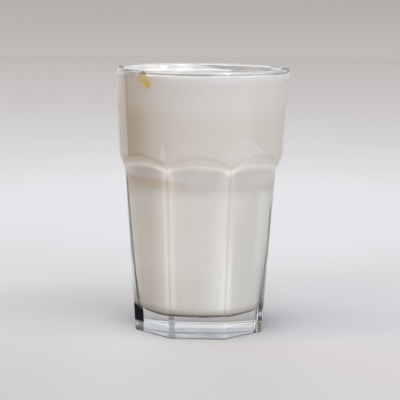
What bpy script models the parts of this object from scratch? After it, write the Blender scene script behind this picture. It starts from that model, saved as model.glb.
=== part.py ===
"""A pressed glass tumbler filled almost to the rim with oat milk, standing on its foot.

Eight flats rise from the foot and end in arches, and the body above them is round.
Metres, +Z up, origin at the centre of the foot, with one flat facing -Y.
"""

import math

import bmesh
import bpy
import numpy as np

# The glass outside
HEIGHT = 0.130
RIM_RADIUS = 0.04297
BODY_TAPER = 0.052
LIP_FLARE = 0.0002
LIP_FLARE_START = 0.126
FLATS = 8
FOOT_APOTHEM = 0.03153
FLAT_LEAN = 0.0634
FOOT_ROUND = 0.0008

# The edges between the flats: two opposite ones carry the seam of the mould and are broader
SEAM_EDGE = math.radians(2.7)
PLAIN_EDGE = math.radians(1.0)

# The shoulder where a flat runs out into the round body
ARCH_TOP = 0.0877
ARCH_RADIUS = 0.027
ARCH_GIRTH = 0.0404
SHOULDER_SLOPE = 0.95
SHOULDER_ROUND = 0.0010
SHOULDER_HOLLOW = 0.0008

# The glass inside
LIP_THICKNESS = 0.0021
LIP_ROUND = 0.00095
LIP_LAND_DEPTH = 0.00005
FLOOR_THICKNESS = 0.0096
FLOOR_CORNER = 0.0048
LOWER_BORE = 0.0222
LOWER_BORE_TAPER = 0.117
UPPER_BORE = 0.02999
UPPER_BORE_TAPER = 0.0806
STEP_BOTTOM = 0.0715
STEP_TOP = 0.0835
NECK = 0.124

# The oat milk and the flake of oat that clings to the wall at its surface
GAP = 0.0003
MILK_LEVEL = 0.1267
FLAKE_TURN = math.radians(-38)
FLAKE_BOTTOM = 0.1226
FLAKE_TOP = 0.1288
FLAKE_WIDTH = 0.0046
FLAKE_THICKNESS = 0.0017
FLAKE_TAPER = 0.25
FLAKE_RIPPLE = 0.08

# Fineness, with the rows of faces across the shoulder in millimetres over the arch's edge
FLAT_STEPS = 10
TURNED_STEPS = 96
ROUND_STEPS = 5
SHOULDER_ROWS = (-14.0, -8.0, -5.5, -4.2, -3.4, -2.6, -1.8, -1.1, -0.5, 0.0, 0.5, 1.1)
SHOULDER_END = 0.092
STEP_ROWS = 9
CUTTER_TOP = 0.136


def smallest(a, b, blend):
    """The smaller of two surfaces, rounded over where they meet."""
    mix = np.clip(0.5 + 0.5 * (b - a) / blend, 0, 1)
    return b * (1 - mix) + a * mix - blend * mix * (1 - mix)


def largest(a, b, blend):
    return -smallest(-a, -b, blend)


def body_radius(z):
    """Radius of the round body, which opens a little more at the lip."""
    flare = np.clip((z - LIP_FLARE_START) / (HEIGHT - LIP_ROUND - LIP_FLARE_START), 0, 1)
    return RIM_RADIUS - LIP_FLARE - BODY_TAPER * (HEIGHT - LIP_ROUND - z) + LIP_FLARE * flare**2


def arch_height(phi):
    """Height of the arch's edge at the angle phi from the middle of a flat."""
    return ARCH_TOP - ARCH_RADIUS + np.sqrt(ARCH_RADIUS**2 - (ARCH_GIRTH * phi) ** 2)


def outer_radius(phi, edge, z):
    """Radius of the outside; edge is half the angle that the nearest edge between flats spans."""
    apothem = FOOT_APOTHEM + FLAT_LEAN * z
    prism = np.minimum(apothem / np.cos(phi), apothem / np.cos(math.pi / FLATS - edge))
    below_arch = largest(arch_height(phi) - z, np.zeros_like(z), SHOULDER_ROUND)
    shoulder = body_radius(z) - SHOULDER_SLOPE * below_arch
    return largest(prism, shoulder, SHOULDER_HOLLOW)


def seam_or_plain(edge_number):
    return SEAM_EDGE if edge_number % (FLATS // 2) == 0 else PLAIN_EDGE


def columns():
    """Turn from -Y, angle from the middle of the flat and edge half angle, once round the glass."""
    half_flat = math.pi / FLATS
    found = []
    for flat in range(FLATS):
        before = seam_or_plain(flat)
        after = seam_or_plain(flat + 1)
        for phi in np.linspace(before - half_flat, half_flat - after, FLAT_STEPS + 1):
            edge = before if phi < 0 else after
            found.append((2 * half_flat * flat + phi, phi, edge))
        found.append((2 * half_flat * flat + half_flat, half_flat, after))
    return np.array(found).T


def glass_rings():
    """The outside as rings of points, from the foot to the flat on top of the lip."""
    turn, phi, edge = columns()

    def ring(radius, z):
        return np.stack([radius * np.sin(turn), -radius * np.cos(turn), z], axis=1)

    rings = []
    for quarter in np.linspace(0, math.pi / 2, ROUND_STEPS):
        z = np.full_like(phi, FOOT_ROUND * (1 - math.cos(quarter)))
        inset = FOOT_ROUND * (1 - math.sin(quarter))
        rings.append(ring(outer_radius(phi, edge, z) - inset, z))
    arch = arch_height(phi)
    for millimetres in SHOULDER_ROWS:
        z = arch + millimetres / 1000
        rings.append(ring(outer_radius(phi, edge, z), z))
    lip_bottom = HEIGHT - LIP_ROUND
    for height in (SHOULDER_END, LIP_FLARE_START, 0.5 * (LIP_FLARE_START + lip_bottom)):
        z = np.full_like(phi, height)
        rings.append(ring(body_radius(z), z))
    for quarter in np.linspace(0, math.pi / 2, ROUND_STEPS):
        z = np.full_like(phi, lip_bottom + LIP_ROUND * math.sin(quarter))
        rings.append(ring(RIM_RADIUS - LIP_ROUND * (1 - math.cos(quarter)), z))
    return rings


def loft(name, rings):
    """A closed body over rings with equal numbers of points, listed from bottom to top."""
    mesh = bmesh.new()
    loops = [[mesh.verts.new(point) for point in ring] for ring in rings]
    count = len(loops[0])
    for lower, upper in zip(loops, loops[1:]):
        for i in range(count):
            j = (i + 1) % count
            mesh.faces.new((lower[i], lower[j], upper[j], upper[i]))
    mesh.faces.new(reversed(loops[0]))
    mesh.faces.new(loops[-1])
    data = bpy.data.meshes.new(name)
    mesh.to_mesh(data)
    mesh.free()
    return bpy.data.objects.new(name, data)


def bore_radius(z):
    """Radius of the hollow: a lower cone, a step outwards behind the arches, and an upper cone."""
    lower = LOWER_BORE + LOWER_BORE_TAPER * z
    upper = UPPER_BORE + UPPER_BORE_TAPER * z
    share = min(max((z - STEP_BOTTOM) / (STEP_TOP - STEP_BOTTOM), 0), 1)
    share = share * share * (3 - 2 * share)
    neck_to_lip = min(max((z - NECK) / (HEIGHT - LIP_ROUND - NECK), 0), 1)
    lip_bore = RIM_RADIUS - LIP_THICKNESS
    radius = lower * (1 - share) + upper * share
    return radius * (1 - neck_to_lip) + lip_bore * neck_to_lip


def bore_profile(clearance):
    """Half outline of the hollow below its neck, less a clearance, down the wall and in to the axis."""
    corner_top = FLOOR_THICKNESS + FLOOR_CORNER
    corner_middle = bore_radius(corner_top) - FLOOR_CORNER
    heights = [NECK] + list(np.linspace(STEP_TOP, STEP_BOTTOM, STEP_ROWS))
    points = [(bore_radius(z) - clearance, z) for z in heights]
    for quarter in np.linspace(0, math.pi / 2, ROUND_STEPS + 2):
        radius = corner_middle + (FLOOR_CORNER - clearance) * math.cos(quarter)
        points.append((radius, corner_top - (FLOOR_CORNER - clearance) * math.sin(quarter)))
    points.append((0, FLOOR_THICKNESS + clearance))
    return points


def turned(name, profile):
    """A solid turned round Z from a half outline that runs down its outer side."""
    mesh = bmesh.new()
    points = [mesh.verts.new((x, 0, z)) for x, z in profile]
    for start, end in zip(points, points[1:]):
        mesh.edges.new((start, end))
    data = bpy.data.meshes.new(name)
    mesh.to_mesh(data)
    mesh.free()
    piece = bpy.data.objects.new(name, data)
    screw = piece.modifiers.new("turn", "SCREW")
    screw.steps = TURNED_STEPS
    screw.render_steps = TURNED_STEPS
    screw.use_merge_vertices = True
    screw.merge_threshold = 0.00001
    return piece


def hollow():
    """What the plunger of the mould leaves open, with the rounding of the inner lip at its mouth."""
    mouth = RIM_RADIUS - LIP_THICKNESS + LIP_ROUND
    profile = [(0, CUTTER_TOP), (mouth, CUTTER_TOP), (mouth, HEIGHT - LIP_LAND_DEPTH)]
    for quarter in np.linspace(math.pi / 2, 0, ROUND_STEPS)[1:]:
        radius = mouth - LIP_ROUND * math.cos(quarter)
        profile.append((radius, HEIGHT - LIP_LAND_DEPTH - LIP_ROUND * (1 - math.sin(quarter))))
    return turned("hollow", profile + bore_profile(0))


def drink():
    top = [(0, MILK_LEVEL), (bore_radius(MILK_LEVEL) - GAP, MILK_LEVEL)]
    return turned("oat_milk", top + bore_profile(GAP))


def flake():
    """A limp oat flake, standing on edge against the wall, thicker at its foot than at its tip."""
    middle = 0.5 * (FLAKE_BOTTOM + FLAKE_TOP)
    half_height = 0.5 * (FLAKE_TOP - FLAKE_BOTTOM)
    reach = bore_radius(middle) - 2 * GAP - 0.5 * FLAKE_THICKNESS
    mesh = bmesh.new()
    bmesh.ops.create_icosphere(mesh, subdivisions=3, radius=1)
    for vert in mesh.verts:
        across, out, up = vert.co
        swell = 1 - FLAKE_TAPER * up + FLAKE_RIPPLE * math.sin(7 * across + 5 * up)
        vert.co.x = 0.5 * FLAKE_WIDTH * across * swell
        vert.co.y = -reach - 0.5 * FLAKE_THICKNESS * out * (1 - FLAKE_TAPER * up)
        vert.co.z = middle + half_height * up
    bmesh.ops.recalc_face_normals(mesh, faces=mesh.faces)
    data = bpy.data.meshes.new("flake")
    mesh.to_mesh(data)
    mesh.free()
    piece = bpy.data.objects.new("flake", data)
    piece.rotation_euler.z = FLAKE_TURN
    return piece


def material(name, colour, roughness, ior, transmission):
    finish = bpy.data.materials.new(name)
    finish.use_nodes = True
    shader = finish.node_tree.nodes["Principled BSDF"]
    shader.inputs["Base Color"].default_value = (*colour, 1)
    shader.inputs["Roughness"].default_value = roughness
    shader.inputs["Metallic"].default_value = 0
    shader.inputs["IOR"].default_value = ior
    shader.inputs["Transmission Weight"].default_value = transmission
    return finish


def boolean(piece, name, operation, other):
    modifier = piece.modifiers.new(name, "BOOLEAN")
    modifier.operation = operation
    modifier.solver = "EXACT"
    modifier.object = other


def smooth(piece):
    if piece.data.polygons:
        piece.data.shade_smooth()
        piece.data.set_sharp_from_angle(angle=math.radians(25))
    for modifier in piece.modifiers:
        if modifier.type == "SCREW":
            modifier.use_smooth_shade = True


def collection(name):
    made = bpy.data.collections.new(name)
    bpy.context.scene.collection.children.link(made)
    return made


for old in list(bpy.data.objects):
    bpy.data.objects.remove(old)

parts = collection("glass_of_oat_milk")
cutters = collection("cutters")

glass = loft("glass", glass_rings())
glass.data.materials.append(material("clear_glass", (0.95, 0.97, 0.97), 0.02, 1.52, 1))
parts.objects.link(glass)

oat_milk = drink()
oat_milk.data.materials.append(material("oat_milk", (0.80, 0.74, 0.65), 0.25, 1.35, 0))
parts.objects.link(oat_milk)

for helper in (hollow(), flake()):
    cutters.objects.link(helper)
    helper.hide_render = True
    helper.display_type = "WIRE"

boolean(glass, "hollow", "DIFFERENCE", bpy.data.objects["hollow"])
boolean(oat_milk, "flake", "UNION", bpy.data.objects["flake"])
smooth(glass)
smooth(oat_milk)
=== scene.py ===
"""A pressed glass tumbler of oat milk: glass, drink, flake, bubbles, bran, floor, light and camera.

Metres, +Z up, with one flat of the glass facing -Y. The sizes are those of the CAD model. The painted
light and shade on the glass and the drink are placed in millimetres and degrees, and turn is counted from
-Y towards +X.
"""

import math
import random

import bmesh
import bpy
import numpy as np
from mathutils import Matrix, Vector


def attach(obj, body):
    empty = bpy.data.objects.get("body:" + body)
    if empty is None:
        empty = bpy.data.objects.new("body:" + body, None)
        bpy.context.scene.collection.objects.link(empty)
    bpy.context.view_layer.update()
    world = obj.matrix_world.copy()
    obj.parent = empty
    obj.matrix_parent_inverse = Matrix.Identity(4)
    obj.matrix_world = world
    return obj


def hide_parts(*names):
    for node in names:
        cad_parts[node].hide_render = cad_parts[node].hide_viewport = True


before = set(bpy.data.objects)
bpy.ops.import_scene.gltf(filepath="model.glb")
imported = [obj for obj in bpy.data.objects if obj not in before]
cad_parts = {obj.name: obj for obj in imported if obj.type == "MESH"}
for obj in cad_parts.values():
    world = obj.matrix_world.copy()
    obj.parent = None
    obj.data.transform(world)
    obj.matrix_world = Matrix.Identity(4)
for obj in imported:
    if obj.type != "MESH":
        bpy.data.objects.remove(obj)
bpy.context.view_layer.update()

# The glass
# A tumbler of clear pressed glass. Eight flats rise from a thick foot and end in arches under a
# round body, and the lip is fire polished. The seam of the mould runs down two opposite edges.

HEIGHT = 0.130
RIM_RADIUS = 0.04297
BODY_TAPER = 0.052
LIP_FLARE = 0.0002
LIP_FLARE_START = 0.126
LIP_ROUND = 0.00105
LIP_THICKNESS = 0.0021
FLATS = 8
HALF_FLAT = math.pi / FLATS
FOOT_APOTHEM = 0.03153
FLAT_LEAN = 0.0634
FOOT_ROUND = 0.0008
SEAM_EDGE = math.radians(2.7)
PLAIN_EDGE = math.radians(1.0)
EDGE_BLEND = 0.00025
STRAIGHT_TOP = 0.068
ARCH_TOP = 0.0877
ARCH_RADIUS = 0.027
ARCH_GIRTH = 0.0404
SHOULDER_BELOW = 0.010
SHOULDER_ABOVE = 0.003
SHOULDER_SLOPE = 0.95
SHOULDER_ROUND = 0.0010
SHOULDER_HOLLOW = 0.0008
SHOULDER_RING = 0.0003
FLOOR_THICKNESS = 0.0096
FLOOR_CORNER = 0.0048
LOWER_BORE = 0.0222
LOWER_TAPER = 0.117
STEP_BOTTOM = 0.0715
STEP_RISE = 0.012
UPPER_BORE = 0.02999
UPPER_TAPER = 0.0806
NECK = 0.124
FLAT_COLUMNS = 48
MM = 1000.0


def largest(a, b, blend):
    """The larger of two surfaces, with a fillet where they meet."""
    mix = np.clip(0.5 - 0.5 * (b - a) / blend, 0, 1)
    return b * (1 - mix) + a * mix + blend * mix * (1 - mix)


def smallest(a, b, blend):
    return -largest(-a, -b, blend)


def body_radius(z):
    lip = HEIGHT - LIP_ROUND
    flare = np.clip((z - LIP_FLARE_START) / (lip - LIP_FLARE_START), 0, 1)
    return RIM_RADIUS - LIP_FLARE - BODY_TAPER * (lip - z) + LIP_FLARE * flare**2


def arch_height(phi):
    return ARCH_TOP - ARCH_RADIUS + np.sqrt(ARCH_RADIUS**2 - (ARCH_GIRTH * phi) ** 2)


def outer_radius(phi, edge, z):
    """Radius of the outside at the angle phi from the middle of a flat and at the height z."""
    apothem = FOOT_APOTHEM + FLAT_LEAN * z
    prism = smallest(apothem / np.cos(HALF_FLAT - edge), apothem / np.cos(phi), EDGE_BLEND)
    below_arch = largest(arch_height(phi) - z, np.zeros_like(z), SHOULDER_ROUND)
    return largest(prism, body_radius(z) - SHOULDER_SLOPE * below_arch, SHOULDER_HOLLOW)


def bore_radius(z):
    """Radius of the inside: a lower cone, a step behind the arches, an upper cone and the lip."""
    share = np.clip((z - STEP_BOTTOM) / STEP_RISE, 0, 1)
    share = share * share * (3 - 2 * share)
    radius = (LOWER_BORE + LOWER_TAPER * z) * (1 - share) + (UPPER_BORE + UPPER_TAPER * z) * share
    to_lip = np.clip((z - NECK) / (HEIGHT - LIP_ROUND - NECK), 0, 1)
    return radius * (1 - to_lip) + (RIM_RADIUS - LIP_THICKNESS) * to_lip


def ring(turn, radius, z):
    """Points round the axis at one radius and height, or at one for each point."""
    return np.stack([radius * np.sin(turn), -radius * np.cos(turn), np.broadcast_to(z, turn.shape)], 1)


def show(data, name):
    """Puts a smooth mesh into the scene."""
    data.shade_smooth()
    piece = bpy.data.objects.new(name, data)
    bpy.context.scene.collection.objects.link(piece)
    return piece


def loft(name, rings):
    """A closed smooth body over rings of equal numbers of points, with a point in both ends."""
    count = len(rings[0])
    ends = [rings[0].mean(0, keepdims=True), rings[-1].mean(0, keepdims=True)]
    points = np.concatenate(rings + ends)
    faces = []
    for row in range(len(rings) - 1):
        for i in range(count):
            a, b = row * count + i, row * count + (i + 1) % count
            faces.append((a, b, b + count, a + count))
    last = (len(rings) - 1) * count
    for i in range(count):
        j = (i + 1) % count
        faces.append((last + count, j, i))
        faces.append((last + count + 1, last + i, last + j))
    data = bpy.data.meshes.new(name)
    data.from_pydata(points.tolist(), [], faces)
    return show(data, name)


def glass_rings():
    """Rings from the middle of the underside, up the outside, over the lip and down the inside."""
    # The columns of points lie closer together towards the edges of a flat.
    t = (np.arange(FLAT_COLUMNS) + 0.5) / FLAT_COLUMNS * 2 - 1
    phi = np.tile(HALF_FLAT * (1.4 * t - 0.4 * t**3), FLATS)
    flat = np.repeat(np.arange(FLATS), FLAT_COLUMNS)
    turn = phi + 2 * HALF_FLAT * flat
    side = flat + (phi > 0)
    edge = np.where(side % (FLATS // 2) == 0, SEAM_EDGE, PLAIN_EDGE)
    every = np.ones_like(phi)

    def outside(z, inset=0.0):
        return ring(turn, outer_radius(phi, edge, z) - inset, z)

    rings = []
    foot = outer_radius(phi, edge, 0 * every) - FOOT_ROUND
    for share in (0.2, 0.6, 0.9):
        rings.append(ring(turn, foot * share, 0.0))
    for quarter in np.linspace(0, math.pi / 2, 9):
        inset = FOOT_ROUND * (1 - math.sin(quarter))
        rings.append(outside(FOOT_ROUND * (1 - math.cos(quarter)) * every, inset))
    for z in np.linspace(FOOT_ROUND, STRAIGHT_TOP, 24)[1:]:
        rings.append(outside(z * every))

    arch = arch_height(phi)
    for share in (0.35, 0.7):
        rings.append(outside(STRAIGHT_TOP + (arch - SHOULDER_BELOW - STRAIGHT_TOP) * share))
    for over in np.arange(-SHOULDER_BELOW, SHOULDER_ABOVE + 0.1 * SHOULDER_RING, SHOULDER_RING):
        rings.append(outside(arch + over))
    top = arch + SHOULDER_ABOVE
    lip = HEIGHT - LIP_ROUND
    for share in np.linspace(0, 1, 24)[1:]:
        z = top + (lip - top) * share
        rings.append(ring(turn, body_radius(z), z))

    middle = RIM_RADIUS - LIP_ROUND
    for half in np.linspace(0, math.pi, 13)[1:]:
        radius = middle + LIP_ROUND * math.cos(half) * every
        rings.append(ring(turn, radius, lip + LIP_ROUND * math.sin(half)))
    corner = FLOOR_THICKNESS + FLOOR_CORNER
    # Through the step the rings lie close together.
    above_step, step = np.linspace(lip, 0.087, 18)[1:], np.linspace(0.085, 0.070, 28)
    for z in np.concatenate([above_step, step, np.linspace(0.067, corner, 15)]):
        rings.append(ring(turn, bore_radius(z) * every, z))
    inner = bore_radius(corner) - FLOOR_CORNER
    for quarter in np.linspace(0, math.pi / 2, 13)[1:]:
        radius = inner + FLOOR_CORNER * math.cos(quarter)
        rings.append(ring(turn, radius * every, corner - FLOOR_CORNER * math.sin(quarter)))
    for share in (0.66, 0.33, 0.1):
        rings.append(ring(turn, inner * share * every, FLOOR_THICKNESS))
    return rings


class Shade:
    """A socket of a node tree. Sums and products of sockets add their own Math nodes."""

    def __init__(self, tree, socket=None):
        self.tree = tree
        self.socket = socket

    def node(self, kind, settings=None, values=None, output=0):
        """Adds a node: its type, its settings, and the values or links of its sockets."""
        made = self.tree.nodes.new("ShaderNode" + kind)
        for name, value in (settings or {}).items():
            if name == "stops":
                while len(made.color_ramp.elements) < len(value):
                    made.color_ramp.elements.new(0.5)
                for stop, (place, colour) in zip(made.color_ramp.elements, value):
                    stop.position = place
                    stop.color = (*colour, 1)
            else:
                setattr(made, name, value)
        for name, value in (values or {}).items():
            if isinstance(value, Shade):
                self.tree.links.new(value.socket, made.inputs[name])
            else:
                made.inputs[name].default_value = value
        return Shade(self.tree, made.outputs[output])

    def maths(self, operation, *others):
        return self.node("Math", {"operation": operation}, dict(enumerate((self, *others))))

    def __add__(self, other):
        return self.maths("ADD", other)

    __radd__ = __add__

    def __sub__(self, other):
        return self.maths("SUBTRACT", other)

    def __rsub__(self, other):
        return self.node("Math", {"operation": "SUBTRACT"}, {0: other, 1: self})

    def __mul__(self, other):
        return self.maths("MULTIPLY", other)

    __rmul__ = __mul__

    def __truediv__(self, other):
        return self.maths("DIVIDE", other)

    def __rtruediv__(self, other):
        return self.node("Math", {"operation": "DIVIDE"}, {0: other, 1: self})

    def __pow__(self, other):
        return self.maths("POWER", other)

    def __abs__(self):
        return self.maths("ABSOLUTE")

    def most(self, other):
        """The larger of two values."""
        return self.maths("MAXIMUM", other)

    def rise(self, start, end):
        """0 before start and 1 after end, with a soft step between them; start may lie above end."""
        values = {0: self, 1: start, 2: end, 3: 0.0, 4: 1.0}
        return self.node("MapRange", {"interpolation_type": "SMOOTHSTEP"}, values)

    def band(self, centre, half_width):
        """1 at the centre and 0 beyond half a width from it."""
        return 1 - abs(self - centre).rise(0.0, half_width)

    def output(self, number):
        """Another output of the same node."""
        return Shade(self.tree, self.socket.node.outputs[number])

    def vector(self, operation, other, output=0):
        return self.node("VectorMath", {"operation": operation}, {0: self, 1: other}, output)

    def away_from(self, spot):
        """Distance of this place from a spot, in metres."""
        return self.vector("DISTANCE", spot, output=1)

    def noise(self, scale, detail):
        return self.node("TexNoise", None, {"Vector": self, "Scale": scale, "Detail": detail})

    def tint(self, low, high):
        """A colour that goes from low to high with this value."""
        values = {0: self, 6: low if isinstance(low, Shade) else (*low, 1)}
        values[7] = high if isinstance(high, Shade) else (*high, 1)
        return self.node("Mix", {"data_type": "RGBA"}, values, output=2)


def finish(piece, name, **constants):
    """A material on the piece; returns its shader node and a Shade for its node tree."""
    made = bpy.data.materials.new(name)
    made.use_nodes = True
    shader = made.node_tree.nodes["Principled BSDF"]
    for key, value in constants.items():
        shader.inputs[key.replace("_", " ")].default_value = value
    piece.data.materials.append(made)
    return shader, Shade(made.node_tree)


def feed(shader, name, value):
    value.tree.links.new(value.socket, shader.inputs[name])


def where_on(tree):
    """The place in the frame; how far across, back and up it lies in mm; and its turn in degrees."""
    place = tree.node("TexCoord", output=3)
    axes = tree.node("SeparateXYZ", None, {0: place})
    turn = axes.maths("ARCTAN2", 0 - axes.output(1)).maths("DEGREES")
    return place, MM * axes, MM * axes.output(1), MM * axes.output(2), turn


def added(marks):
    """The sum of marks, each a strength and a mask."""
    total = marks[0][1] * marks[0][0]
    for strength, mask in marks[1:]:
        total = total + mask * strength
    return total


def strongest(marks):
    """The strongest of marks, each a strength and a mask."""
    total = marks[0][1] * marks[0][0]
    for strength, mask in marks[1:]:
        total = total.most(mask * strength)
    return total


BLACK = (0.0, 0.0, 0.0)
WHITE = (1.0, 1.0, 1.0)
GLASS_LIGHT = (0.97, 1.0, 1.0)
PAINTED_DARK_ROOM = (0.012, 0.010, 0.018, 1)
GLASS_INDEX = 1.52

glass = loft("glass", glass_rings())
clear = {"Transmission_Weight": 1.0, "IOR": GLASS_INDEX, "Roughness": 0.0, "Emission_Strength": 1.0}
shader, tree = finish(glass, "clear_pressed_glass", **clear)
place, across, back, height, turn = where_on(tree)
beside = abs(turn)
around = turn + 360 * turn.rise(0.0, -0.001)
flats = turn / (360 / FLATS) + 0.5
from_edge = (0.5 - abs(flats.maths("FRACT") - 0.5)) * (360 / FLATS)
wave = place.noise(55.0, 1.0)
feed(shader, "Normal", tree.node("Bump", None, {"Strength": 0.5, "Distance": 0.00006, "Height": wave}))

# What the glass shows of the room round it is painted on it as painted glows of light and painted shades,
# each a strength and a mask, and fits the view from the front. Painted light gathers in the hollow under
# each arch, which lies lowest over the middle of a flat, and on both sides of each edge between flats,
# with painted dark lines above each arch and along each edge, and a painted glint where they meet.
phi = (180 / FLATS - from_edge).maths("RADIANS")
arc = ((MM * ARCH_RADIUS) ** 2 - (phi * (MM * ARCH_GIRTH)) ** 2.0).maths("SQRT")
over = height - (arc + MM * (ARCH_TOP - ARCH_RADIUS))
hollow = 31.94 - 29.12 / phi.maths("COSINE")
arch_light = 0.11 * (over + hollow).band(0.0, 1.6) * beside.rise(72.0, 60.0)
low = height.rise(62.0, 25.0)
edge_light = 0.07 + 0.05 * low + turn.rise(-1.0, 1.0) * (0.07 * low - 0.04)
edge_light = edge_light * from_edge.rise(6.5, 2.4) * (0.55 + 0.45 * from_edge.rise(0.4, 2.0))
flat_part = height.rise(12.0, 18.0) * over.rise(1.5, -1.5)
junction_glint = from_edge.rise(5.0, 1.5) * over.band(-1.5, 2.6)
left_flat = turn.rise(-22.4, -23.4) * turn.rise(-67.6, -66.6)
glows = [(1.0, arch_light.most(edge_light * flat_part)), (0.09, junction_glint)]
shades = [
    (0.09 + 0.08 * left_flat, over.band(1.9, 1.7)),
    (0.09, from_edge.rise(1.3, 0.5) * over.rise(1.0, -1.0)),
]

# Beside the drink the thick wall shows the dark room as a painted dark line, which leaves the edge lower
# down.
# At the left it has painted bright lines on both sides.
left = turn.rise(-67.6, -67.4) * turn.rise(-44.0, -46.0)
aside = from_edge - (6.25 - 0.07 * height).most(10.46 - 0.22 * height)
line = aside.rise(-1.9, -0.9) * aside.rise(1.6, 0.7)
beside_line = 0.17 * aside.band(2.1, 1.2) + 0.07 * aside.band(5.2, 2.4)
outside_line = aside.rise(-0.6, -1.6) * height.rise(13.0, 15.0) * height.rise(42.0, 32.0)
shades.append((0.66, left * line * height.rise(14.0, 17.0) * height.rise(80.0, 75.0)))
glows += [
    (beside_line, left * height.rise(17.0, 24.0) * height.rise(72.0, 66.0)),
    (0.10 + 0.13 * height.rise(18.0, 29.0), left * outside_line),
]

# At the right the painted dark line runs close to the edge, with a painted grey shade round it and painted
# bright bands near the foot.
right = turn.rise(44.0, 46.0) * turn.rise(67.6, 67.4)
aside = from_edge - (1.45 + (0.165 * (41.0 - height)).most(0.0))
line = aside.rise(-1.4, -0.7) * aside.rise(1.5, 0.7)
above_foot = height.rise(13.0, 15.0)
strip = right * from_edge.rise(6.8, 6.0)
shades += [
    (0.62, right * line * above_foot * height.rise(67.0, 60.0)),
    (0.22, right * aside.band(1.8, 3.4) * above_foot * height.rise(50.0, 40.0)),
    (0.20, right * from_edge.rise(3.2, 2.4) * height.rise(12.0, 14.0) * height.rise(38.0, 32.0)),
    (0.32, right * from_edge.band(6.3, 1.9) * height.rise(5.4, 4.9)),
]
glows += [
    (0.08, right * from_edge.rise(5.0, 4.0) * height.band(10.9, 2.0)),
    (0.11, right * from_edge.band(8.0, 2.4) * height.band(6.2, 1.6)),
    (0.05 + 0.04 * height.rise(4.8, 4.3), strip * height.rise(19.0, 16.0)),
]

# In the left corner of the foot it is a painted near-black patch of shade, with a painted greenish glow
# below it. The marks on the foot lie on its near half and leave out its underside.
PATCH_WIDTH = 11.6
in_corner = left * from_edge.rise(PATCH_WIDTH + 0.3, PATCH_WIDTH - 0.3)
patch = in_corner * height.rise(5.0, 5.5) * (height + 0.21 * from_edge).rise(14.4, 13.7)
corner = in_corner * height.rise(5.3, 4.8) * height.rise(2.3, 2.9)
near = beside.rise(108.0, 98.0) * height.rise(0.03, 0.15)
glows.append((0.07, corner))
shades.append((0.34, near * left * from_edge.rise(13.4, 12.4) * height.rise(2.9, 2.3)))

# The thick floor shows the table as painted streaky bands of shade and light, which sink a little as a
# flat recedes: a grey one under the drink, a white one, a dark ripple, and a painted contact shadow as the
# dark line where the foot stands on the table.
FRONT_FLAT = 31.8
depth = FRONT_FLAT + back
streak = place.vector("MULTIPLY", (90.0, 90.0, 1300.0)).noise(1.0, 2.0).rise(0.35, 0.7)
sunk, sunk_more = height + 0.15 * depth, height + 0.18 * depth
bare = near * (1 - strip) * (1 - patch)
white_band = sunk_more.rise(9.0, 8.7) * sunk_more.rise(5.5, 6.1)
ripple = (sunk + 0.3 * streak).band(3.6, 1.0) * height.rise(1.4, 1.9)
foot_edge = height.rise(0.25, 0.45)
contact_shadow = near * (0.25 + 0.20 * beside.rise(22.0, 27.0)) * height.rise(0.95, 0.6) * foot_edge
less_left = 1 - 0.6 * turn.rise(-24.0, -30.0)
shades += [
    (0.16, near * sunk.rise(8.6, 9.1) * height.rise(12.6, 12.0)),
    (0.12 * streak, near * sunk.rise(9.1, 8.6)),
    (0.20 + 0.14 * streak, near * height.rise(6.2, 5.8)),
    (0.22 + 0.26 * streak, near * less_left * (height + 0.10 * depth).rise(3.6, 3.1)),
    (0.60, near * ripple),
    (0.60, near * height.rise(1.2, 0.7) * foot_edge),
]
glows += [
    (0.08 * streak, white_band * bare * (1 - corner)),
    (0.10, sunk_more.band(6.7, 0.8) * turn.rise(23.0, 25.0) * turn.rise(58.0, 55.0)),
    (0.16 + 0.10 * turn.rise(-20.0, -26.0), bare * sunk.band(8.15, 0.75)),
]

# The seam shows as a painted grey strip of shade, wider at its foot, with one painted bright bar.
SEAM_TURN = -21.7
widening = 0.8 * height.rise(5.5, 4.0)
along_seam = abs(turn - SEAM_TURN).rise(2.9 + widening, 2.2 + widening) * height.rise(12.4, 11.8)
shades.append((0.42 + 0.16 * streak + 0.05 * height.rise(5.5, 4.5), along_seam))
glows.append((0.25, along_seam * height.band(9.2, 0.5)))

# The inside of the wall behind the drink's surface has a painted white reflection up to a slanting end,
# and a painted grey shade beyond it.
out = (across * across + back * back).maths("SQRT")
inside = out.rise(41.6, 41.3) * height.rise(126.6, 127.0)
past_end = around - (163.0 + 9.5 * (height - 126.7))
white_back_reflection = inside * past_end.rise(-0.8, 0.8) * around.rise(262.0, 245.0) * height.rise(129.3, 129.0)
glows.append((0.09 + 0.05 * around.rise(200.0, 188.0), white_back_reflection))
shades.append((0.22, inside * past_end.rise(0.8, -0.8) * around.rise(118.0, 126.0)))

# The lip carries fine painted bright and dark lines and painted glows, and painted shade at both ends of
# its outline.
front = beside.rise(80.0, 74.0) * (1 - inside)
low_edge = 128.3 - 0.25 * turn.rise(8.0, 4.0) * turn.rise(-17.0, -13.0) - 0.9 * turn.rise(-43.0, -47.0)
lip_line = (height - low_edge).rise(-0.2, 0.1) * height.rise(129.2, 128.95)
lip_dark = 0.50 - 0.18 * turn.rise(8.0, 14.0) * turn.rise(54.0, 46.0) - 0.28 * turn.rise(-56.0, -62.0)
tips = beside.rise(73.0, 80.0) * beside.rise(108.0, 100.0) * height.rise(128.2, 128.6)
left_side = turn.rise(-62.0, -68.0) * turn.rise(-108.0, -98.0) * height.rise(104.0, 124.0)
right_side = turn.rise(76.0, 86.0) * turn.rise(104.0, 96.0) * height.rise(124.0, 126.0)
shades += [
    (lip_dark, front * lip_line),
    (0.30, front * height.band(129.6, 0.35) * turn.rise(-26.0, -36.0)),
    (0.44, tips),
]
glows += [
    (0.055 + 0.04 * turn.rise(-76.0, -86.0), left_side * (1 - tips)),
    (0.13, right_side * (1 - tips)),
    (0.03, height.rise(129.5, 129.8) * (1 - tips)),
    (0.24, height.band(129.35, 0.4) * around.rise(118.0, 126.0) * around.rise(190.0, 182.0)),
]
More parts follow.
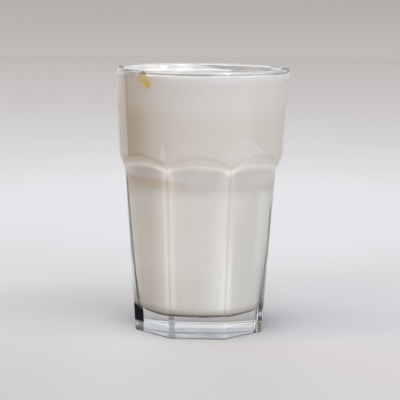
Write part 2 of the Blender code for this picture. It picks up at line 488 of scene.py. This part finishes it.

# Froth clings to the wall in fine cells where the drink ends; its cells are painted as a faint glow.
cells = tree.node("TexVoronoi", None, {"Vector": place, "Scale": 1100.0}).rise(0.75, 0.25)
froth = (height + 0.5 * wave).rise(125.6, 127.0) * height.rise(128.0, 127.6)
glows.append((0.005 + 0.055 * cells, froth * turn.rise(-44.0, -34.0) * turn.rise(84.0, 60.0)))

# Light that passes the wall is tinted by the root of the base colour, so the clear share is squared.
# The painted glows feed the emission, and the painted shades darken the base colour.
feed(shader, "Emission Color", added(glows).tint(BLACK, GLASS_LIGHT))
feed(shader, "Base Color", ((1 - strongest(shades)) ** 2.0).tint(BLACK, WHITE))
# A dark matt shader mixed over the glass paints the near-black patch in the foot's corner, the contact
# shadow under the foot and the shade at the lip's tips.
values = {"Base Color": PAINTED_DARK_ROOM, "Roughness": 0.5, "Specular IOR Level": 0.0}
painted_dark_shader = tree.node("BsdfPrincipled", None, values)
painted_dark_share = (0.97 * patch).most(contact_shadow.most(0.34 * tips * height.rise(128.8, 129.1)))
values = {0: painted_dark_share, 1: Shade(tree.tree, shader.outputs[0]), 2: painted_dark_shader}
feed(tree.tree.nodes["Material Output"], "Surface", tree.node("MixShader", None, values))
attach(glass, "root")
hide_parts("glass")

# The oat milk
# An opaque off-white drink that wets the wall and creeps up it a little at its surface. It reaches
# just into the wall, as there is no air between a drink and its glass.

MILK_LEVEL = 0.1267
WETTING = 0.00015
CREEP_FRONT = 0.0009
CREEP_BACK = 0.0003
CREEP_REACH = 0.0012
MILK_COLUMNS = 240


def milk_rings():
    """Rings from the middle of the bottom, up the wall, over the creep and in across the surface."""
    turn = np.arange(MILK_COLUMNS) / MILK_COLUMNS * 2 * math.pi
    every = np.ones_like(turn)
    corner = FLOOR_THICKNESS + FLOOR_CORNER
    inner = bore_radius(corner) - FLOOR_CORNER
    rings = [ring(turn, inner * share * every, FLOOR_THICKNESS - WETTING) for share in (0.1, 0.4, 0.75)]
    for quarter in np.linspace(math.pi / 2, 0, 13):
        out = inner + (FLOOR_CORNER + WETTING) * math.cos(quarter)
        rings.append(ring(turn, out * every, corner - (FLOOR_CORNER + WETTING) * math.sin(quarter)))
    below_step, step = np.linspace(corner, 0.070, 22)[1:], np.linspace(0.071, 0.0845, 28)
    for z in np.concatenate([below_step, step, np.linspace(0.087, MILK_LEVEL, 24)]):
        rings.append(ring(turn, (bore_radius(z) + WETTING) * every, z))
    creep = (CREEP_FRONT + CREEP_BACK) / 2 + (CREEP_FRONT - CREEP_BACK) / 2 * np.cos(turn)
    for share in (0.25, 0.5, 0.75, 1.0):
        z = MILK_LEVEL + share * creep
        rings.append(ring(turn, bore_radius(z) + WETTING, z))
    wall = bore_radius(MILK_LEVEL)
    for inward in (0.1, 0.3, 0.6, 1.0, 1.5, 2.2, 3.0, 4.2, 6.0, 10.0, 20.0, 34.0):
        z = MILK_LEVEL + creep * math.exp(-inward / MM / CREEP_REACH)
        rings.append(ring(turn, (wall - inward / MM) * every, z))
    return rings


milk = loft("oat_milk", milk_rings())
shader, tree = finish(milk, "oat_milk", IOR=1.35, Emission_Strength=1.0)
place, across, back, height, turn = where_on(tree)
cloud = place.noise(40.0, 3.0)
cloudy = height + 4 * cloud
wall = (across * across + back * back).maths("SQRT").rise(38.0, 39.5).most(height.rise(126.6, 126.4))
surface = height.rise(126.68, 126.75)

# The drink is paler towards the top and in the lower cone, and creamier in between. In the lower cone it
# has painted light and shade that change with the turn, with a painted warm shade low at the left, and the
# step behind the arches is painted paler as painted light.
low_left_shade = turn.rise(-16.0, -28.0).tint((0.832, 0.825, 0.782), (0.828, 0.806, 0.748))
lower = turn.rise(16.0, 2.0).tint((0.840, 0.825, 0.790), (0.893, 0.872, 0.835))
lower = turn.rise(56.0, 68.0).tint(lower, (0.900, 0.905, 0.860))
lower = height.rise(38.0, 24.0).tint(lower, low_left_shade)
step_brightening = abs(turn - 30.0).rise(0.0, 25.0).tint((0.875, 0.848, 0.790), (0.955, 0.935, 0.895))
coats = [
    (cloudy.rise(104.0, 115.0), (0.852, 0.829, 0.806)),
    (height.rise(74.0, 66.0), lower),
    (0.8 * cloudy.rise(116.0, 106.0) * height.rise(74.0, 80.0), (0.82, 0.790, 0.728)),
    (0.9 * height.band(77.5, 6.5), step_brightening),
]

# Foam gathers at the surface, most of it at the front right. A painted dark upright line of shade stands
# at the front left, with a painted paler strip of light outside it and a painted warm shade inside it.
foam = (height + 1.6 * cloud).rise(124.0, 127.0) * turn.rise(-42.0, -12.0) * turn.rise(150.0, 110.0)
upper = height.rise(87.0, 89.0) * wall
inward = turn + (66.0 - 0.042 * height)
fading = height.rise(118.0, 104.0)
warm_shade = inward.rise(-0.4, 0.6) * inward.rise(34.0, 7.0) * (0.3 + 0.7 * fading) * height.rise(126.0, 118.0)
line = inward.rise(-0.8, 0.4) * inward.rise(4.5, 0.8) * (0.6 + 0.4 * fading)
coats += [
    (foam * wall, (0.915, 0.91, 0.905)),
    (upper * inward.rise(0.2, -1.2) * turn.rise(-110.0, -85.0), (0.91, 0.885, 0.85)),
    (upper * warm_shade, (0.72, 0.628, 0.495)),
    (upper * line, (0.655, 0.57, 0.46)),
]

# A painted pale spike of light stands over the left edge, and a painted pale field of light over the right
# one ends in a painted darker slanting line.
spike = (27.86 - 0.28 * height - abs(turn + 26.6)).rise(-0.4, 1.2) * height.rise(99.5, 96.0)
slant = turn + 2.28 * height - 262.7
field = slant.rise(0.4, -1.2) * (turn - height + 69.0).rise(-9.0, 5.0) * height.rise(102.0, 96.0)
slanting = slant.band(0.8, 2.0) * height.rise(99.0, 95.0)
coats += [
    (0.6 * spike * upper, (0.95, 0.93, 0.88)),
    (0.65 * field * upper, (0.87, 0.855, 0.81)),
    (0.55 * slanting * upper, (0.68, 0.66, 0.61)),
]

# Under the arches the drink is painted paler, as painted light, than in the step below them, and the step
# has a painted warm shade at the left. Its lower edge is painted dark, as painted shade where the bottom
# turns away from the light.
under = height.rise(78.6, 79.6) * height.rise(86.5, 84.0) * turn.rise(-20.0, -25.0)
step = height.rise(72.4, 73.2) * height.rise(78.4, 77.4) * turn.rise(-82.0, -66.0)
to_left = 0.4 * turn.rise(-8.0, -16.0) + 0.6 * turn.rise(-21.0, -25.0)
coats += [
    (under, (0.98, 0.93, 0.88)),
    (step * to_left, (0.85, 0.76, 0.625)),
    (height.rise(15.0, 11.6), (0.68, 0.65, 0.59)),
    (height.rise(11.3, 10.8), (0.32, 0.30, 0.26)),
]

# On the far side of the surface the right has a painted grey shade, and the rest of the far side has a
# painted glow of the light in the drink. The flake stains the drink round it.
in_shade = surface * across.rise(12.0, 16.0) * across.rise(34.0, 28.0) * back.rise(18.0, 31.0)
STAIN_MIDDLE = (-0.0256, -0.0311, 0.1248)
stain = place.away_from(STAIN_MIDDLE).rise(0.0065, 0.0025)
coats += [(in_shade, (0.46, 0.46, 0.47)), (0.45 * stain, (0.80, 0.68, 0.46))]
colour = cloud.rise(0.3, 0.7).tint((0.795, 0.770, 0.722), (0.805, 0.784, 0.740))
for mask, tone in coats:
    colour = mask.tint(colour, tone)
lit = surface * across.rise(16.0, 12.0) * back.rise(4.0, 14.0)
feed(shader, "Base Color", colour)
feed(shader, "Emission Color", lit.tint(BLACK, (0.17, 0.17, 0.18)))
feed(shader, "Roughness", 0.22 - 0.16 * height.rise(126.2, 126.6))
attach(milk, "root")
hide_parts("oat_milk")

# The oat flake
# A limp golden flake of oat that clings to the wall at the drink's surface, front left. It is thin,
# lobed and soft, and its lower lobe is soaked to a deeper gold.

FLAKE_TURN = math.radians(-39.5)
FLAKE_THICKNESS = 0.0009
FLAKE_PRESS = 0.00034
FLAKE_MIDDLE = (0.0005, 0.1254)
FLAKE_SPOT = (-0.0249, -0.0314, 0.1253)
# Its outline in millimetres: along the wall, and up from the foot
FLAKE_OUTLINE = (
    (-1.7, 129.0), (0.6, 129.0), (1.2, 127.9), (2.6, 127.2), (3.3, 126.0), (4.1, 125.0),
    (4.4, 123.5), (3.7, 122.1), (2.1, 121.3), (0.6, 121.8), (-0.5, 123.0), (-1.6, 123.6),
    (-3.6, 123.8), (-5.2, 124.7), (-5.6, 126.1), (-4.6, 127.8), (-2.8, 128.4),
)


def curl(points, steps):
    """A smooth closed curve through the points, in metres."""
    found = []
    count = len(points)
    for i in range(count):
        a, b, c, d = (np.array(points[(i + k) % count]) for k in (-1, 0, 1, 2))
        for t in np.arange(steps) / steps:
            bend = (2 * a - 5 * b + 4 * c - d) * t**2 + (3 * b - a - 3 * c + d) * t**3
            found.append(0.5 * (2 * b + (c - a) * t + bend))
    return np.array(found) / MM


def flake_rings():
    """Rings from the middle of the side in the drink, over the rim, to the side on the wall."""
    edge = curl(FLAKE_OUTLINE, 6)
    middle = np.array(FLAKE_MIDDLE)
    around = np.arange(len(edge)) / len(edge) * 2 * math.pi
    widening = (0.1, 0.3, 0.5, 0.7, 0.85, 0.95)
    rings = []
    for side, shares in ((-1, widening), (1, (1.0, *widening[::-1]))):
        for share in shares:
            across, up = (middle + (edge - middle) * share).T
            ripple = 0.35 * share * np.sin(3 * around + 5 * share) + 0.2 * np.sin(7 * around + 9 * share)
            swell = math.sqrt(max(1 - share**2, 0.0))
            out = FLAKE_PRESS * swell if side > 0 else -FLAKE_THICKNESS * swell * (1 + ripple)
            radius = bore_radius(up) + out
            rings.append(ring(FLAKE_TURN + across / radius, radius, up))
    return rings


flake = loft("oat_flake", flake_rings())
shader, tree = finish(flake, "soaked_oat", Roughness=0.35, IOR=1.4)
place, _, _, height, _ = where_on(tree)
grain = place.noise(900.0, 4.0)
spot = place.away_from(FLAKE_SPOT).rise(0.0016, 0.0003)
colour = (height + 1.2 * grain).rise(126.6, 123.8).tint((0.88, 0.71, 0.34), (0.80, 0.59, 0.125))
colour = (height + 0.8 * grain).rise(127.8, 128.6).tint(colour, (0.85, 0.74, 0.62))
colour = (0.7 * spot).tint(colour, (0.88, 0.56, 0.16))
# Its rim is so thin that it takes the colour of the drink. Each lobe is solid within its reach of a
# middle.
LOBES = (
    ((-0.02627, -0.03043, 0.1258), 0.0030),
    ((-0.02418, -0.03185, 0.1234), 0.0026),
    ((-0.02607, -0.0310, 0.1284), 0.0024),
)
solid = None
for middle, reach in LOBES:
    lobe = (place.away_from(middle) + 0.0012 * grain).rise(reach + 0.0010, reach - 0.0012)
    solid = lobe if solid is None else lobe.most(solid)
feed(shader, "Base Color", solid.tint((0.80, 0.69, 0.49), colour))
feed(shader, "Normal", tree.node("Bump", None, {"Strength": 0.6, "Distance": 0.0003, "Height": grain}))
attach(flake, "root")

# The bubbles
# A thin chain of small bubbles where the drink meets the wall, more of them at the front right, and
# a few larger ones. Each is a film of drink, flattened against the glass.

BUBBLE_SEED = 5
FRONT_BUBBLES = 210
SIDE_BUBBLES = 55
BUBBLE_SIZE = 0.00015
BUBBLE_GROWTH = 0.00036
BUBBLE_HEIGHTS = (-0.0012, 0.0006)
# Middle and spread of the turns of those in front, and ends of the turns of those at the side
FRONT_TURNS = (8, 24)
SIDE_TURNS = (45, 150)
# The larger ones: turn in degrees, radius, and how far they float in from the wall
LARGE_BUBBLES = (
    (40.0, 0.00085, 0.0), (43.0, 0.0011, 0.0), (46.5, 0.0008, 0.0), (42.0, 0.0007, 0.0016),
    (49.0, 0.0005, 0.0), (33.0, 0.0006, 0.0), (29.5, 0.0005, 0.0),
)
draw = random.Random(BUBBLE_SEED)


def pebble(mesh, centre, turn, sizes, roughness, fineness):
    """Adds a rounded lump: sizes run along the wall, out from it and up."""
    made = bmesh.ops.create_icosphere(mesh, subdivisions=fineness, radius=1)
    phase = draw.uniform(0, 6)
    for vert in made["verts"]:
        along, out, up = vert.co
        swell = 1 + roughness * math.sin(3 * along + 4 * up + phase) * math.sin(2 * out - 3 * up + phase)
        spot = Vector((sizes[0] * along * swell, -sizes[1] * out * swell, sizes[2] * up * swell))
        spot.rotate(Matrix.Rotation(turn, 3, "Z"))
        vert.co = centre + spot


def at_wall(turn, radius, z):
    return Vector((radius * math.sin(turn), -radius * math.cos(turn), z))


def piece_from(mesh, name):
    data = bpy.data.meshes.new(name)
    bmesh.ops.recalc_face_normals(mesh, faces=mesh.faces)
    mesh.to_mesh(data)
    mesh.free()
    return show(data, name)


mesh = bmesh.new()
for number in range(FRONT_BUBBLES + SIDE_BUBBLES):
    turn = math.radians(draw.gauss(*FRONT_TURNS) if number < FRONT_BUBBLES else draw.uniform(*SIDE_TURNS))
    size = BUBBLE_SIZE + BUBBLE_GROWTH * draw.random() ** 2
    z = MILK_LEVEL + draw.uniform(*BUBBLE_HEIGHTS)
    radius = float(bore_radius(z)) + WETTING - 0.7 * size
    pebble(mesh, at_wall(turn, radius, z), turn, (size, 0.8 * size, size), roughness=0.05, fineness=1)
for degrees, size, inward in LARGE_BUBBLES:
    turn = math.radians(degrees)
    z = MILK_LEVEL + 0.55 * size
    radius = float(bore_radius(z)) - 0.8 * size - inward
    pebble(mesh, at_wall(turn, radius, z), turn, (size, 0.95 * size, size), roughness=0.03, fineness=3)
bubbles = piece_from(mesh, "bubbles")
shader, tree = finish(bubbles, "film_of_drink", Roughness=0.08, IOR=1.33, Alpha=0.8)
film = tree.node("TexCoord", output=3).noise(700.0, 2.0)
feed(shader, "Base Color", film.tint((0.93, 0.92, 0.90), (0.99, 0.985, 0.97)))
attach(bubbles, "root")

# The specks
# Fine specks of bran that float against the wall, just below the surface and hardly darker than the
# drink. Each is a thin scale that lies flat on the glass.

SPECKS = 46
SPECK_TURNS = (-8, 11)
SPECK_HEIGHTS = (0.1175, 0.1235)
SPECK_SIZES = (0.00010, 0.00024)
SPECK_THICKNESS = 0.00005

mesh = bmesh.new()
for number in range(SPECKS):
    turn = math.radians(draw.gauss(*SPECK_TURNS))
    z = draw.uniform(*SPECK_HEIGHTS)
    size = draw.uniform(*SPECK_SIZES)
    radius = float(bore_radius(z)) + WETTING
    sizes = (1.6 * size, SPECK_THICKNESS, 0.7 * size)
    pebble(mesh, at_wall(turn, radius, z), turn, sizes, roughness=0.25, fineness=2)
specks = piece_from(mesh, "bran_specks")
shader, tree = finish(specks, "bran", Roughness=0.5, IOR=1.4)
mottle = tree.node("TexCoord", output=3).noise(800.0, 2.0)
feed(shader, "Base Color", mottle.tint((0.60, 0.52, 0.44), (0.72, 0.63, 0.56)))
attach(specks, "root")

# The floor
# A pale matt table top with a painted pool of light round the glass, so that it is a shade darker far
# away. The foot stands just clear of it, so that the two faces don't share one plane.

FLOOR_RADIUS = 3.0
FLOOR_DROP = 0.0003
FLOOR_BRIGHTEST = (0.0, 0.40, 0.0)
# The tone of the table with its painted pool of light, at shares of its radius from its brightest place
FLOOR_LIT_TONES = (
    (0.00, (0.408, 0.412, 0.435)),
    (0.06, (0.402, 0.405, 0.428)),
    (0.10, (0.372, 0.371, 0.387)),
    (0.14, (0.356, 0.352, 0.364)),
    (0.18, (0.341, 0.333, 0.342)),
    (0.23, (0.329, 0.320, 0.328)),
    (0.31, (0.308, 0.298, 0.305)),
    (0.37, (0.297, 0.287, 0.293)),
    (0.45, (0.288, 0.276, 0.280)),
    (0.60, (0.273, 0.260, 0.258)),
    (0.81, (0.254, 0.242, 0.238)),
    (1.00, (0.241, 0.228, 0.223)),
)

below = (0, 0, -FLOOR_DROP)
bpy.ops.mesh.primitive_circle_add(vertices=128, radius=FLOOR_RADIUS, fill_type="NGON", location=below)
floor = bpy.context.object
floor.name = "floor"
shader, tree = finish(floor, "pale_table", Roughness=0.9, IOR=1.3)
place, across, back, _, _ = where_on(tree)
share = place.away_from(FLOOR_BRIGHTEST) / FLOOR_RADIUS
tone = tree.node("ValToRGB", {"stops": FLOOR_LIT_TONES}, {0: share})


def pool(middle, reach):
    """A soft round painted shade on the table, 1 in the middle and 0 beyond its reach across and back."""
    apart = [((axis - m) / r) ** 2.0 for axis, m, r in zip((across, back), middle, reach)]
    return (apart[0] + apart[1]).maths("SQRT").rise(1.0, 0.0)


# The table has a painted shadow close to the glass and a painted soft shade beside it, and is painted a
# little paler at the front right.
GLASS_REACH = 33.0
beyond = (across**2.0 + (1.2 * (back - 12.0)) ** 2.0).maths("SQRT") - GLASS_REACH
fading = (0 - beyond / 12.0).maths("EXPONENT").maths("MINIMUM", 1.0)
shaded = added([
    (0.34 - 0.14 * back.rise(-20.0, -30.0), fading * beyond.rise(-4.0, -0.5)),
    (0.175, pool((-55.0, 42.0), (130.0, 85.0))),
    (0.07, pool((60.0, 20.0), (62.0, 50.0))),
    (0.05, across.rise(-30.0, -80.0) * back.rise(20.0, -30.0)),
    (-0.04, across.rise(20.0, 60.0) * back.rise(0.0, -35.0)),
])
feed(shader, "Base Color", tree.node("VectorMath", {"operation": "SCALE"}, {0: tone, "Scale": 1 - shaded}))

# The light
# Soft boxes round the glass, painted on the sky, with a white wall low behind on the left. A key
# light stands to the front right, and the table has a broad light of its own overhead.

# Each box: turn, lift from the horizon and half its width in degrees, and its brightness
SOFT_BOXES = (
    (325, 25, 5, (8.4, 8.4, 7.6)),
    (60, 12, 5, (4.8, 4.9, 4.5)),
    (30, 24, 13, (3.1, 3.2, 3.2)),
    (320, 45, 13, (3.6, 2.8, 2.3)),
    (0, 45, 13, (2.6, 2.6, 2.5)),
    (280, 45, 13, (3.4, 2.2, 0.8)),
    (200, 45, 13, (2.7, 2.6, 2.8)),
    (240, 45, 13, (1.2, 2.1, 2.3)),
    (77, 4, 13, (3.0, 2.5, 1.8)),
    (51, 4, 13, (1.7, 1.6, 2.2)),
    (26, 4, 13, (0.7, 0.7, 0.7)),
    (103, 4, 13, (1.0, 1.1, 0.7)),
    (283, 4, 13, (1.2, 0.7, 0.2)),
    (0, 68, 13, (0.3, 0.9, 1.7)),
    (160, 45, 13, (0.82, 0.85, 0.93)),
    (180, 14, 13, (0.70, 0.73, 0.76)),
    (208, 14, 13, (0.72, 0.75, 0.79)),
    (152, 14, 13, (0.72, 0.75, 0.79)),
    (300, 24, 13, (0.34, 0.35, 0.33)),
)
# Two points of the white wall's slanting end: turn and lift
WALL_END = ((181.1, 3.45), (181.9, 3.09))
WALL_WHITE = (1.0, 1.0, 1.02)
FAR_SIDE = (0.37, 0.37, 0.36)
FAR_FLOOR = (0.54, 0.508, 0.49)
HORIZON = (0.455, 0.428, 0.408)
KEY_STRENGTH = 2.0
KEY_SPREAD = math.radians(10)
KEY_COLOUR = (0.93, 0.96, 1.0)
KEY_TILT = math.radians(65)
KEY_TURN = math.radians(35)
TABLE_STRENGTH = 3.35


def direction(turn, lift):
    """Unit vector towards a turn and a lift in degrees."""
    turn, lift = math.radians(turn), math.radians(lift)
    return (math.sin(turn) * math.cos(lift), -math.cos(turn) * math.cos(lift), math.sin(lift))


world = bpy.data.worlds.new("studio")
bpy.context.scene.world = world
world.use_nodes = True
tree = Shade(world.node_tree)
sky = tree.node("TexCoord")
light = BLACK
for turn, lift, half, brightness in SOFT_BOXES:
    facing = sky.vector("DOT_PRODUCT", direction(turn, lift), output=1)
    dim, full = math.cos(math.radians(1.5 * half)), math.cos(math.radians(0.5 * half))
    values = {0: facing, 1: dim, 2: full, 3: 0.0, 4: 1.0}
    box = tree.node("MapRange", {"interpolation_type": "SMOOTHERSTEP"}, values)
    light = tree.node("VectorMath", {"operation": "MULTIPLY_ADD"}, {0: box, 1: brightness, 2: light})

# The wall ends on the plane through its two points, and the dim far side of the room lies beside it.
axes = tree.node("SeparateXYZ", None, {0: sky})
up = axes.output(2)
high_point, low_point = (Vector(direction(*point)) for point in WALL_END)
across_end = sky.vector("DOT_PRODUCT", tuple(high_point.cross(low_point).normalized()), output=1)
wall = across_end.rise(-0.0015, 0.0015).tint(FAR_SIDE, WALL_WHITE)
light = (up.rise(0.11, 0.08) * axes.output(1).rise(0.0, 0.3)).tint(light, wall)
light = up.rise(0.002, -0.002).tint(light, up.rise(-0.05, 0.0).tint(FAR_FLOOR, HORIZON))
# The camera itself sees a plain room past the glass, and the soft boxes only in the glass and drink.
to_camera = tree.node("LightPath")
light = (to_camera * up.rise(-0.010, -0.004)).tint(light, HORIZON)
feed(world.node_tree.nodes["Background"], "Color", light)


def sun(name, energy, pieces):
    """A distant light that falls on the given pieces alone."""
    lamp = bpy.data.objects.new(name, bpy.data.lights.new(name, "SUN"))
    bpy.context.scene.collection.objects.link(lamp)
    lamp.data.energy = energy
    reached = bpy.data.collections.new("lit_by_" + name)
    bpy.context.scene.collection.children.link(reached)
    for piece in pieces:
        reached.objects.link(piece)
    lamp.light_linking.receiver_collection = reached
    return lamp


key = sun("key", KEY_STRENGTH, (glass, milk, flake, bubbles, specks))
key.data.angle = KEY_SPREAD
key.data.color = KEY_COLOUR
key.rotation_euler = (KEY_TILT, 0, KEY_TURN)
# The glass casts no shadow in the light of the table.
overhead = sun("overhead", TABLE_STRENGTH, (floor,))
overhead.light_linking.blocker_collection = overhead.light_linking.receiver_collection

# The camera
# It stands in front of the glass, a little to the right, and looks slightly down through a long
# lens. Everything is in focus.

CAMERA_TURN = math.radians(1.7)
CAMERA_AWAY = 0.7063
CAMERA_HEIGHT = 0.1670
CAMERA_DIP = 0.145
CAMERA_ROLL = 0.0115
CAMERA_SHIFT = -0.001875
# Width of the picture in the camera and focal length of its lens, in millimetres
SENSOR = 36
LENS = 128.43

camera = bpy.data.objects.new("camera", bpy.data.cameras.new("camera"))
bpy.context.scene.collection.objects.link(camera)
camera.data.sensor_width = SENSOR
camera.data.lens = LENS
camera.data.shift_x = CAMERA_SHIFT
stand = (CAMERA_AWAY * math.sin(CAMERA_TURN), -CAMERA_AWAY * math.cos(CAMERA_TURN), CAMERA_HEIGHT)
look = Matrix.Rotation(CAMERA_TURN, 4, "Z") @ Matrix.Rotation(math.pi / 2 - CAMERA_DIP, 4, "X")
camera.matrix_world = Matrix.Translation(stand) @ look @ Matrix.Rotation(CAMERA_ROLL, 4, "Z")
bpy.context.scene.camera = camera
bpy.context.scene.view_settings.view_transform = "Standard"
